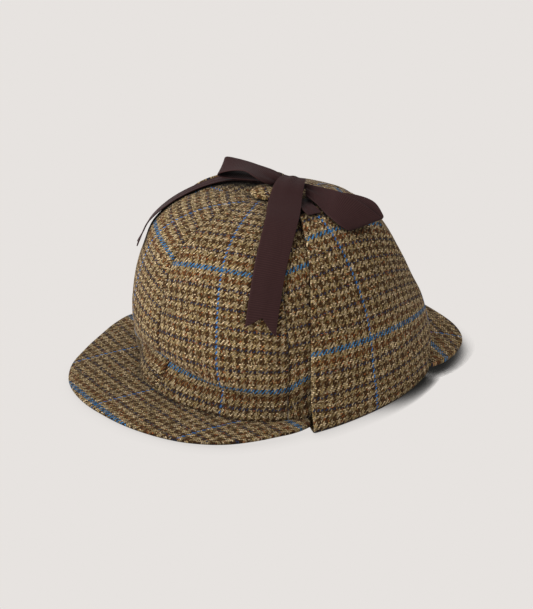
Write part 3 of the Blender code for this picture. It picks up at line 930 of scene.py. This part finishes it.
# --- button -----------------------------------------------------------------------------
def top_button(finish):
    """A button covered in the tweed, turned on the crown's apex."""
    dome = bmesh.new()
    rings = len(BUTTON_PROFILE) - 1
    bmesh.ops.create_uvsphere(
        dome, u_segments=BUTTON_SEGMENTS, v_segments=rings, radius=1.0)
    apex = crown_point(0.0, APEX_PLACE) + Vector(BUTTON_SHIFT)
    places = {}
    for vert in dome.verts:
        from_top = 0.5 - math.asin(max(-1.0, min(1.0, vert.co.z))) / math.pi
        down = round(from_top * rings)
        radius, height = (value * BUTTON_SWELL for value in BUTTON_PROFILE[down])
        turn = math.atan2(vert.co.y, vert.co.x)
        gathers = BUTTON_GATHER_DEPTH * math.sin(BUTTON_GATHERS * turn)
        radius *= 1.0 + gathers * down / rings
        reach, grain = radius + down * BUTTON_CLOTH_STEP, turn + BUTTON_GRAIN
        places[vert] = (reach * math.cos(grain), reach * math.sin(grain))
        out = Vector((math.cos(turn) * radius, math.sin(turn) * radius, BUTTON_GAP + height))
        vert.co = to_scene(apex + out)
    mark_cloth(dome, places)
    bmesh.ops.recalc_face_normals(dome, faces=list(dome.faces))
    stands_for(finished("tweed_top_button", dome, finish), "top_button")


# --- ribbon -----------------------------------------------------------------------------
Section = namedtuple("Section", "centre across out width")


def laid_sections(rows, count):
    """Cross-sections of a ribbon that lies on the crown."""
    centres, outs, widths = [], [], []
    for step in range(count + 1):
        lay = between_rows(rows, (len(rows) - 1) * step / count)
        angle, place = crown_under(lay.x, lay.y)
        out = crown_normal(angle, min(place, APEX_PLACE - APEX_MARGIN))
        centres.append(crown_point(angle, place) + out * lay.stand)
        outs.append(out)
        widths.append(lay.width)
    return [
        Section(centre, out.cross(run).normalized(), out, width)
        for centre, out, width, run in zip(centres, outs, widths, runs(centres))
    ]


def loop_sections(rows, count):
    """Cross-sections of a bow loop, out along the top and back underneath."""
    loops = [between_rows(rows, (len(rows) - 1) * step / count) for step in range(count + 1)]
    centres = [Vector((loop.x, loop.y, loop.z)) for loop in loops]
    sections = []
    for loop, centre, run in zip(loops, centres, runs(centres)):
        side, front = heading(loop.turn)
        rise, level = heading(loop.slope)
        across = Vector((front * level, side * level, rise))
        sections.append(Section(centre, across, run.cross(across).normalized(), loop.width))
    return sections


def ribbon(name, sections, drape, finish):
    """A ribbon through its cross-sections, pleated where it is narrowed, and its length."""
    count = len(sections) - 1
    total = reaches([section.centre for section in sections])[-1]

    def place_at(u, v):
        back = drape.notch * (1.0 - abs(2.0 * u - 1.0)) + drape.slant * (1.0 - u)
        return max(0.0, min(1.0, v - back * v ** 4)) * count

    def middle(u, v):
        place = place_at(u, v)
        index = min(int(place), count - 1)
        near, far, share = sections[index], sections[index + 1], place - index
        centre = near.centre.lerp(far.centre, share)
        across = near.across.lerp(far.across, share).normalized()
        out = near.out.lerp(far.out, share).normalized()
        width = near.width + (far.width - near.width) * share
        side = u - 0.5
        narrowed = max(0.0, 1.0 - width / RIBBON_WIDTH)
        pleat = narrowed * drape.pleats * math.cos(4.0 * math.pi * side + PLEAT_SHIFT)
        arch = drape.arch * (1.0 - 4.0 * side * side)
        return centre + across * (side * width) + out * (pleat + arch)

    def cloth(u, v):
        return (u - 0.5) * RIBBON_WIDTH, place_at(u, v) / count * total

    rows = max(RIBBON_LEAST_ROWS, int(total / RIBBON_ROW))
    piece = cloth_wall(
        "ribbon_" + name, (RIBBON_COLUMNS, rows), (RIBBON_WIDTH, total), RIBBON_THICK,
        middle, cloth, finish)
    return stands_for(piece, name), total * MM


def bow_knot(finish):
    """The soft knot between the loops, with its folds running round it."""
    knot = bmesh.new()
    segments, rings = KNOT_SEGMENTS
    bmesh.ops.create_uvsphere(knot, u_segments=segments, v_segments=rings, radius=1.0)
    half_x, half_y, half_z = (size / 2.0 for size in KNOT_SIZE)
    turned_side, turned_front = heading(KNOT_TURN)
    places = {}
    for vert in knot.verts:
        raw = vert.co.copy()
        folds = abs(math.sin(KNOT_FOLDS * raw.y + KNOT_FOLD_START))
        fold = 1.0 - KNOT_FOLD_DEPTH * folds * (1.0 - abs(raw.y)) ** 0.5
        boxy = [math.copysign(abs(value) ** KNOT_BOXY, value) for value in raw]
        along, across = boxy[0] * half_x * fold, boxy[1] * half_y
        places[vert] = (across, math.atan2(raw.z, raw.x) * half_x)
        vert.co = to_scene(Vector(KNOT_CENTRE) + Vector((
            along * turned_front - across * turned_side,
            along * turned_side + across * turned_front,
            boxy[2] * half_z * fold,
        )))
    mark_cloth(knot, places)
    bmesh.ops.recalc_face_normals(knot, faces=list(knot.faces))
    stands_for(finished("ribbon_bow_knot", knot, finish), "bow_knot")


# --- shader helpers ---------------------------------------------------------------------
def feed(tree, socket, value):
    """Link a socket to another, or set it to a plain value."""
    if isinstance(value, bpy.types.NodeSocket):
        tree.links.new(value, socket)
    else:
        socket.default_value = value


def reckon(tree, operation, *values):
    """A Math node's result."""
    node = tree.nodes.new("ShaderNodeMath")
    node.operation = operation
    for socket, value in zip(node.inputs, values):
        feed(tree, socket, value)
    return node.outputs["Value"]


def times(tree, first, second):
    """Two values multiplied."""
    return reckon(tree, "MULTIPLY", first, second)


def minus(tree, first, second):
    """One value less another."""
    return reckon(tree, "SUBTRACT", first, second)


def times_plus(tree, value, factor, added):
    """A value multiplied, and another added."""
    return reckon(tree, "MULTIPLY_ADD", value, factor, added)


def within(tree, value, repeat):
    """Where a value lies in its repeat."""
    return reckon(tree, "FLOORED_MODULO", value, repeat)


def mixed(tree, share, first, second):
    """A colour between two others; sockets 6 and 7 are a Mix node's two colours."""
    node = tree.nodes.new("ShaderNodeMix")
    node.data_type = "RGBA"
    feed(tree, node.inputs["Factor"], share)
    feed(tree, node.inputs[6], first)
    feed(tree, node.inputs[7], second)
    return node.outputs[2]


def mixed_value(tree, share, first, second):
    """A number between two others; sockets 2 and 3 are a Mix node's two numbers."""
    node = tree.nodes.new("ShaderNodeMix")
    node.data_type = "FLOAT"
    feed(tree, node.inputs[0], share)
    feed(tree, node.inputs[2], first)
    feed(tree, node.inputs[3], second)
    return node.outputs[0]


def bell(tree, value, middle, spread):
    """1 where the value is at the middle, falling away smoothly to both sides."""
    off = reckon(tree, "DIVIDE", minus(tree, value, middle), spread)
    return reckon(tree, "POWER", math.e, times(tree, times(tree, off, off), -1.0))


def scaled_colour(tree, colour, amount):
    """A colour made lighter or darker."""
    node = tree.nodes.new("ShaderNodeVectorMath")
    node.operation = "SCALE"
    feed(tree, node.inputs["Vector"], colour)
    feed(tree, node.inputs["Scale"], amount)
    return node.outputs["Vector"]


def vector_of(tree, x, y, z=0.0):
    """A vector of three numbers."""
    node = tree.nodes.new("ShaderNodeCombineXYZ")
    for socket, value in zip(node.inputs, (x, y, z)):
        feed(tree, socket, value)
    return node.outputs["Vector"]


def split(tree, vector):
    """The three numbers of a vector."""
    node = tree.nodes.new("ShaderNodeSeparateXYZ")
    feed(tree, node.inputs[0], vector)
    return node.outputs[0], node.outputs[1], node.outputs[2]


def speckle(tree, x, y):
    """Three random values for each whole-number cell."""
    node = tree.nodes.new("ShaderNodeTexWhiteNoise")
    node.noise_dimensions = "2D"
    feed(tree, node.inputs["Vector"], vector_of(tree, x, y))
    return node.outputs["Color"]


def cloudy(tree, vector, scale, detail=2.0):
    """Soft patches between 0 and 1."""
    node = tree.nodes.new("ShaderNodeTexNoise")
    node.inputs["Scale"].default_value = scale
    node.inputs["Detail"].default_value = detail
    feed(tree, node.inputs["Vector"], vector)
    return node.outputs["Fac"]


def object_place(tree, axis):
    """A point's place along an axis of its object, in metres."""
    return split(tree, tree.nodes.new("ShaderNodeTexCoord").outputs["Object"])[axis]


def openness(tree, reach, power, facing=None):
    """1 in the open, less in creases, seams and close places; used for painted shade."""
    node = tree.nodes.new("ShaderNodeAmbientOcclusion")
    node.samples = NEAR_SAMPLES
    node.inputs["Distance"].default_value = reach * MM
    if facing:
        feed(tree, node.inputs["Normal"], vector_of(tree, *facing))
    return reckon(tree, "POWER", node.outputs["AO"], power)


def seen_by_camera(tree):
    """1 for what is looked at directly, 0 for its light on other things."""
    return tree.nodes.new("ShaderNodeLightPath").outputs["Is Camera Ray"]


def new_group(name, inputs, outputs):
    """A node group with named sockets; returns it with what it is given and its results."""
    tree = bpy.data.node_groups.new(name, "ShaderNodeTree")
    for label, kind, value in inputs:
        socket = tree.interface.new_socket(name=label, in_out="INPUT", socket_type=kind)
        if value is not None:
            socket.default_value = value
    for label, kind in outputs:
        tree.interface.new_socket(name=label, in_out="OUTPUT", socket_type=kind)
    given, result = tree.nodes.new("NodeGroupInput"), tree.nodes.new("NodeGroupOutput")
    return tree, given.outputs, result.inputs


# --- the tweed --------------------------------------------------------------------------
def counted_yarns(tree, given):
    """The end and the pick at a point and how far across them it is; yarns wander a little."""
    across, along, _ = split(tree, given["Cloth"])
    aside = vector_of(tree, reckon(tree, "ADD", across, ASIDE), along)
    counted = []
    for value, field, width in (
        (across, given["Cloth"], END_WIDTH),
        (along, aside, PICK_WIDTH),
    ):
        drift = minus(tree, cloudy(tree, field, WANDER_SCALE), 0.5)
        place = reckon(tree, "DIVIDE", times_plus(tree, drift, given["Wander"], value), width)
        yarn = reckon(tree, "FLOOR", place)
        counted += [yarn, minus(tree, place, yarn)]
    return counted


def lined(tree, colour, place, line, yarn):
    """A colour with a line of another yarn in it."""
    on_line = reckon(tree, "COMPARE", place, line.middle, line.half)
    return mixed(tree, times(tree, on_line, line.share), colour, yarn)


def warp_colours(tree, given, end, light):
    """The colour of an end, and whether it is blue."""
    dark = reckon(tree, "GREATER_THAN", within(tree, end, BAND_YARNS), DARK_FROM)
    colour = mixed(tree, dark, light, given["Brown"])
    off = minus(tree, within(tree, end, CHECK_YARNS), BLUE_END.middle)
    from_blue = reckon(tree, "ABSOLUTE", off)
    colour = lined(tree, colour, from_blue, RUST_END, given["Rust"])
    blue = reckon(tree, "LESS_THAN", from_blue, BLUE_END.half)
    return mixed(tree, blue, colour, given["Blue"]), blue


def weft_colours(tree, given, pick, light):
    """The colour of a pick, and whether it is blue."""
    colour = mixed(tree, KHAKI_IN_BROWN, given["Brown"], given["Khaki"])
    colour = lined(tree, colour, within(tree, pick, NAVY_EVERY), NAVY_PICK, given["Navy"])
    off = minus(tree, within(tree, pick, CHECK_YARNS), BLUE_PICK.middle)
    from_blue = reckon(tree, "ABSOLUTE", off)
    colour = lined(tree, colour, from_blue, RUST_PICK, given["Rust"])
    dark = reckon(tree, "GREATER_THAN", within(tree, pick, BAND_YARNS), DARK_FROM)
    colour = mixed(tree, dark, light, colour)
    blue = reckon(tree, "LESS_THAN", from_blue, BLUE_PICK.half)
    return mixed(tree, blue, colour, given["Slate"]), blue


def tweed_weave():
    """Two-up two-down twill in four-and-four yarns, with a blue and rust overcheck."""
    tree, given, result = new_group(
        "tweed weave",
        (
            ("Cloth", "NodeSocketVector", None),
            ("Cream", "NodeSocketColor", CREAM_YARN),
            ("Khaki", "NodeSocketColor", KHAKI_YARN),
            ("Brown", "NodeSocketColor", BROWN_YARN),
            ("Navy", "NodeSocketColor", NAVY_YARN),
            ("Blue", "NodeSocketColor", BLUE_YARN),
            ("Slate", "NodeSocketColor", SLATE_YARN),
            ("Rust", "NodeSocketColor", RUST_YARN),
            ("Wander", "NodeSocketFloat", 0.5),
            ("Warp painted shade", "NodeSocketFloat", 0.84),
            ("Weft painted light", "NodeSocketFloat", 1.18),
        ),
        (("Color", "NodeSocketColor"), ("Height", "NodeSocketFloat")),
    )
    end, in_end, pick, in_pick = counted_yarns(tree, given)

    # Which yarn is on top, and which of its floats.
    step = within(tree, minus(tree, end, pick), TWILL_STEPS)
    passed = minus(tree, TWILL_STEPS - 1.0, step)
    weft_up = reckon(tree, "LESS_THAN", step, TWILL_STEPS / 2.0 - 0.5)
    warp_up = minus(tree, 1.0, weft_up)
    float_end = minus(tree, end, times(tree, step, weft_up))
    float_pick = minus(tree, pick, times(tree, passed, warp_up))
    chance, shade, hue = split(tree, speckle(tree, float_end, float_pick))

    # Light wool is spun from cream and khaki.
    pale = reckon(tree, "POWER", hue, CREAM_RARITY)
    light = mixed(tree, pale, given["Khaki"], given["Cream"])
    warp_colour, blue_end = warp_colours(tree, given, end, light)
    weft_colour, blue_pick = weft_colours(tree, given, pick, light)
    colour = mixed(tree, weft_up, warp_colour, weft_colour)

    # Stray wool: dark floats in the light bands, pale ones in the dark, and rust flecks.
    plain = minus(tree, 1.0, mixed_value(tree, weft_up, blue_end, blue_pick))
    for odd, strength, wool in (
        (("GREATER_THAN", chance, 1.0 - STRAY_WOOL), STRAY_STRENGTH, given["Brown"]),
        (("LESS_THAN", chance, STRAY_WOOL), STRAY_STRENGTH, light),
        (("COMPARE", chance, 0.5, FLECK_WOOL / 2.0), FLECK_STRENGTH, given["Rust"]),
    ):
        share = times(tree, times(tree, reckon(tree, *odd), strength), plain)
        colour = mixed(tree, share, colour, wool)

    # Round yarns that dive under their neighbours, and their fibres.
    warp_run = times(tree, reckon(tree, "ADD", passed, in_pick), 0.5)
    weft_run = times(tree, reckon(tree, "ADD", step, in_end), 0.5)
    run = mixed_value(tree, weft_up, warp_run, weft_run)
    arch = reckon(tree, "SINE", times(tree, run, math.pi))
    off = times_plus(tree, mixed_value(tree, weft_up, in_end, in_pick), 2.0, -1.0)
    height = times(
        tree, minus(tree, 1.0, times(tree, off, off)),
        times_plus(tree, arch, YARN_DIVE, 1.0 - YARN_DIVE))
    fibre = cloudy(tree, given["Cloth"], FIBRE_SCALE, detail=0.0)
    height = times(tree, height, times_plus(tree, fibre, FIBRE_SPREAD, FIBRE_LEAST))

    # Uneven spinning and dyeing: each float has its tone, and whole patches drift.
    patch = cloudy(tree, given["Cloth"], PATCH_SCALE, detail=3.0)
    drift = times_plus(tree, patch, PATCH_SPREAD, -PATCH_SPREAD / 2.0)
    tone = reckon(tree, "ADD", times_plus(tree, shade, TONE_SPREAD, TONE_LEAST), drift)
    # Painted light: weft floats are painted lighter and warp floats darker, as lit and shaded
    # floats.
    twill = mixed_value(tree, weft_up, given["Warp painted shade"], given["Weft painted light"])
    # Painted shade in the hollows between yarns and a painted highlight on their tops.
    hollow = times_plus(tree, height, YARN_TOP_PAINTED_LIGHT, YARN_HOLLOW_PAINTED_SHADE)
    for share in (tone, twill, hollow):
        colour = scaled_colour(tree, colour, share)
    feed(tree, result["Color"], colour)
    feed(tree, result["Height"], height)
    return tree


def cloth_map(tree):
    """Where a point lies in the uncut cloth, from the piece's UV map."""
    node = tree.nodes.new("ShaderNodeUVMap")
    node.uv_map = "cloth"
    return node.outputs["UV"]


def relief(tree, height, distance, strength):
    """The surface's normal, tilted by a height."""
    node = tree.nodes.new("ShaderNodeBump")
    node.inputs["Distance"].default_value = distance
    node.inputs["Strength"].default_value = strength
    feed(tree, node.inputs["Height"], height)
    return node.outputs["Normal"]


def band_shade(tree, depth):
    """1 on the crown, less on the stiff band that lies in the crown's own shade."""
    near = bell(tree, object_place(tree, 2), BAND_MIDDLE * MM, BAND_SPREAD * MM)
    return times_plus(tree, near, -depth, 1.0)


def woven_material(name, pattern, shade_of, finish, sheen):
    """A material of a woven pattern; shade_of(tree) says how light it is at each place."""
    material = bpy.data.materials.new(name)
    material.use_nodes = True
    tree = material.node_tree
    node = tree.nodes.new("ShaderNodeGroup")
    node.node_tree = pattern
    feed(tree, node.inputs["Cloth"], cloth_map(tree))
    shader = tree.nodes["Principled BSDF"]
    colour = scaled_colour(tree, node.outputs["Color"], shade_of(tree))
    feed(tree, shader.inputs["Base Color"], colour)
    bump = relief(tree, node.outputs["Height"], finish.relief * MM, finish.strength)
    feed(tree, shader.inputs["Normal"], bump)
    shader.inputs["Roughness"].default_value = finish.roughness
    shader.inputs["Specular IOR Level"].default_value = WOVEN_SPECULAR
    shader.inputs["Sheen Weight"].default_value = sheen
    shader.inputs["Sheen Roughness"].default_value = finish.sheen_roughness
    shader.inputs["Sheen Tint"].default_value = finish.sheen_tint
    return material


def tweed(name, weave):
    """One panel's tweed: painted shade in creases, and painted shade on the stiff band."""
    tone, sheen, shaded = TWEEDS[name]

    def shade_of(tree):
        # Painted shade in creases and seams, and on the crown also painted shade on the stiff
        # band.
        shade = times(tree, openness(tree, CREASE_REACH, TWEED_CREASE_SHADE), tone)
        return times(tree, shade, band_shade(tree, shaded)) if shaded else shade

    return woven_material(name, weave, shade_of, TWEED_FINISH, sheen)


# --- the ribbon -------------------------------------------------------------------------
def grosgrain_ribs():
    """Close cross ribs with a plain selvedge along both edges."""
    tree, given, result = new_group(
        "grosgrain ribs",
        (
            ("Cloth", "NodeSocketVector", None),
            ("Dark", "NodeSocketColor", RIBBON_BROWN),
            ("Light", "NodeSocketColor", RIBBON_PALE_AND_HIGHLIGHT),
            ("Rib", "NodeSocketFloat", RIB),
        ),
        (("Color", "NodeSocketColor"), ("Height", "NodeSocketFloat")),
    )
    across, along, _ = split(tree, given["Cloth"])
    rib = reckon(tree, "DIVIDE", along, given["Rib"])
    wave = reckon(tree, "ABSOLUTE", reckon(tree, "SINE", times(tree, rib, math.pi)))
    thread = reckon(tree, "SINE", times(tree, across, THREAD_TURNS))
    ribbed = times(tree, wave, times_plus(tree, thread, THREAD_DEPTH, 1.0 - THREAD_DEPTH))
    from_middle = reckon(tree, "ABSOLUTE", across)
    edge = reckon(tree, "GREATER_THAN", from_middle, SELVEDGE_FROM)
    height = mixed_value(tree, edge, ribbed, SELVEDGE_HEIGHT)
    patch = cloudy(tree, given["Cloth"], RIBBON_PATCH_SCALE, detail=4.0)
    # Painted highlight on rib crests and selvedge, grooves left dark as painted shade; lighter
    # patches at random.
    lit = times(tree, times(tree, height, height), RIB_PAINTED_HIGHLIGHT)
    lit = reckon(tree, "ADD", lit, times(tree, patch, RIBBON_PATCH_SHARE))
    feed(tree, result["Color"], mixed(tree, lit, given["Dark"], given["Light"]))
    feed(tree, result["Height"], height)
    return tree


def grosgrain(name, ribs):
    """The ribbon's material, with painted shade in its folds."""
    def shade_of(tree):
        # Painted shade in the ribbon's folds and where it lies close to the crown.
        return openness(tree, CREASE_REACH, RIBBON_FOLD_SHADE)

    return woven_material(name, ribs, shade_of, GROSGRAIN_FINISH, GROSGRAIN_SHEEN)


# --- floor, light and camera ------------------------------------------------------------
def pale_floor():
    """An even pale backdrop with a painted shadow close in to the hat, away from the window."""
    material = bpy.data.materials.new("pale floor")
    material.use_nodes = True
    tree = material.node_tree
    tree.nodes.clear()
    # Painted contact shadow: the glowing floor's colour darkens close in to the hat.
    turned_away = bell(tree, object_place(tree, 1), SHADOW_MIDDLE * MM, SHADOW_SPREAD * MM)
    depth = times_plus(tree, turned_away, SHADOW_DEPTH, SHADOW_LEAST)
    open_share = openness(tree, SHADOW_REACH, depth, SHADOW_TILT)
    glow = tree.nodes.new("ShaderNodeEmission")
    feed(tree, glow.inputs["Color"], mixed(tree, open_share, SHADOW_GREY, FLOOR_GREY))
    bright = mixed_value(tree, seen_by_camera(tree), FLOOR_BOUNCE, 1.0)
    feed(tree, glow.inputs["Strength"], bright)
    out = tree.nodes.new("ShaderNodeOutputMaterial")
    feed(tree, out.inputs["Surface"], glow.outputs["Emission"])
    return material


def studio():
    """The floor, a soft room that looks like more of the floor, and one soft window."""
    floor = bmesh.new()
    bmesh.ops.create_grid(floor, x_segments=2, y_segments=2, size=FLOOR_SIZE)
    finished("floor", floor, pale_floor())

    world = bpy.data.worlds.new("soft room")
    world.use_nodes = True
    tree = world.node_tree
    room, seen = tree.nodes["Background"], seen_by_camera(tree)
    feed(tree, room.inputs["Color"], mixed(tree, seen, ROOM_COLOUR, FLOOR_GREY))
    feed(tree, room.inputs["Strength"], mixed_value(tree, seen, ROOM_STRENGTH, 1.0))

    lamp = bpy.data.lights.new("soft window", "SUN")
    lamp.energy = WINDOW_ENERGY
    lamp.angle = math.radians(WINDOW_SPREAD)
    window = bpy.data.objects.new("soft window", lamp)
    window.rotation_euler = Vector(WINDOW_FROM).to_track_quat("Z", "Y").to_euler()

    scene = bpy.context.scene
    scene.collection.objects.link(window)
    scene.world = world
    scene.view_settings.view_transform = "Standard"


def photo_camera():
    """The photograph's view."""
    side, front = heading(CAMERA_ROUND)
    rise, level = heading(CAMERA_ABOVE)
    back = Vector((side * level, -front * level, rise))
    right = Vector((front, side, 0.0))
    place = to_scene(back * CAMERA_AWAY)
    aim = to_scene(right * CAMERA_AIM[0] + back.cross(right) * CAMERA_AIM[1])
    lens = bpy.data.cameras.new("camera")
    lens.lens = CAMERA_LENS
    lens.sensor_width = CAMERA_SENSOR
    camera = bpy.data.objects.new("camera", lens)
    camera.location = place
    camera.rotation_euler = (place - aim).to_track_quat("Z", "Y").to_euler()
    bpy.context.scene.collection.objects.link(camera)
    bpy.context.scene.camera = camera


# --- the hat ----------------------------------------------------------------------------
def dress_hat():
    """Every piece of the hat, each in the place of its CAD solid."""
    weave = tweed_weave()
    tweeds = {name: tweed(name, weave) for name in TWEEDS}
    silk = grosgrain("brown grosgrain", grosgrain_ribs())
    for index, name in enumerate(GORE_NAMES):
        crown_gore(index, name, tweeds["crown tweed"])
    peak("front_peak", tweeds["front peak tweed painted darker"])
    peak("back_peak", tweeds["back peak tweed painted lighter"])
    for flap in FLAPS:
        ear_flap(flap, tweeds["flap tweed"])
    top_button(tweeds["button tweed"])

    for name, rows in TIES.items():
        piece, length = ribbon(name, laid_sections(rows, TIE_SECTIONS), TIE_DRAPE, silk)
    for name, rows in TAILS.items():
        sections = laid_sections(rows, TAIL_SECTIONS)
        piece, length = ribbon(name, sections, TAIL_DRAPES[name], silk)
    for name, rows in LOOPS.items():
        piece, length = ribbon(name, loop_sections(rows, LOOP_SECTIONS), LOOP_DRAPE, silk)
    bow_knot(silk)


studio()
photo_camera()
dress_hat()
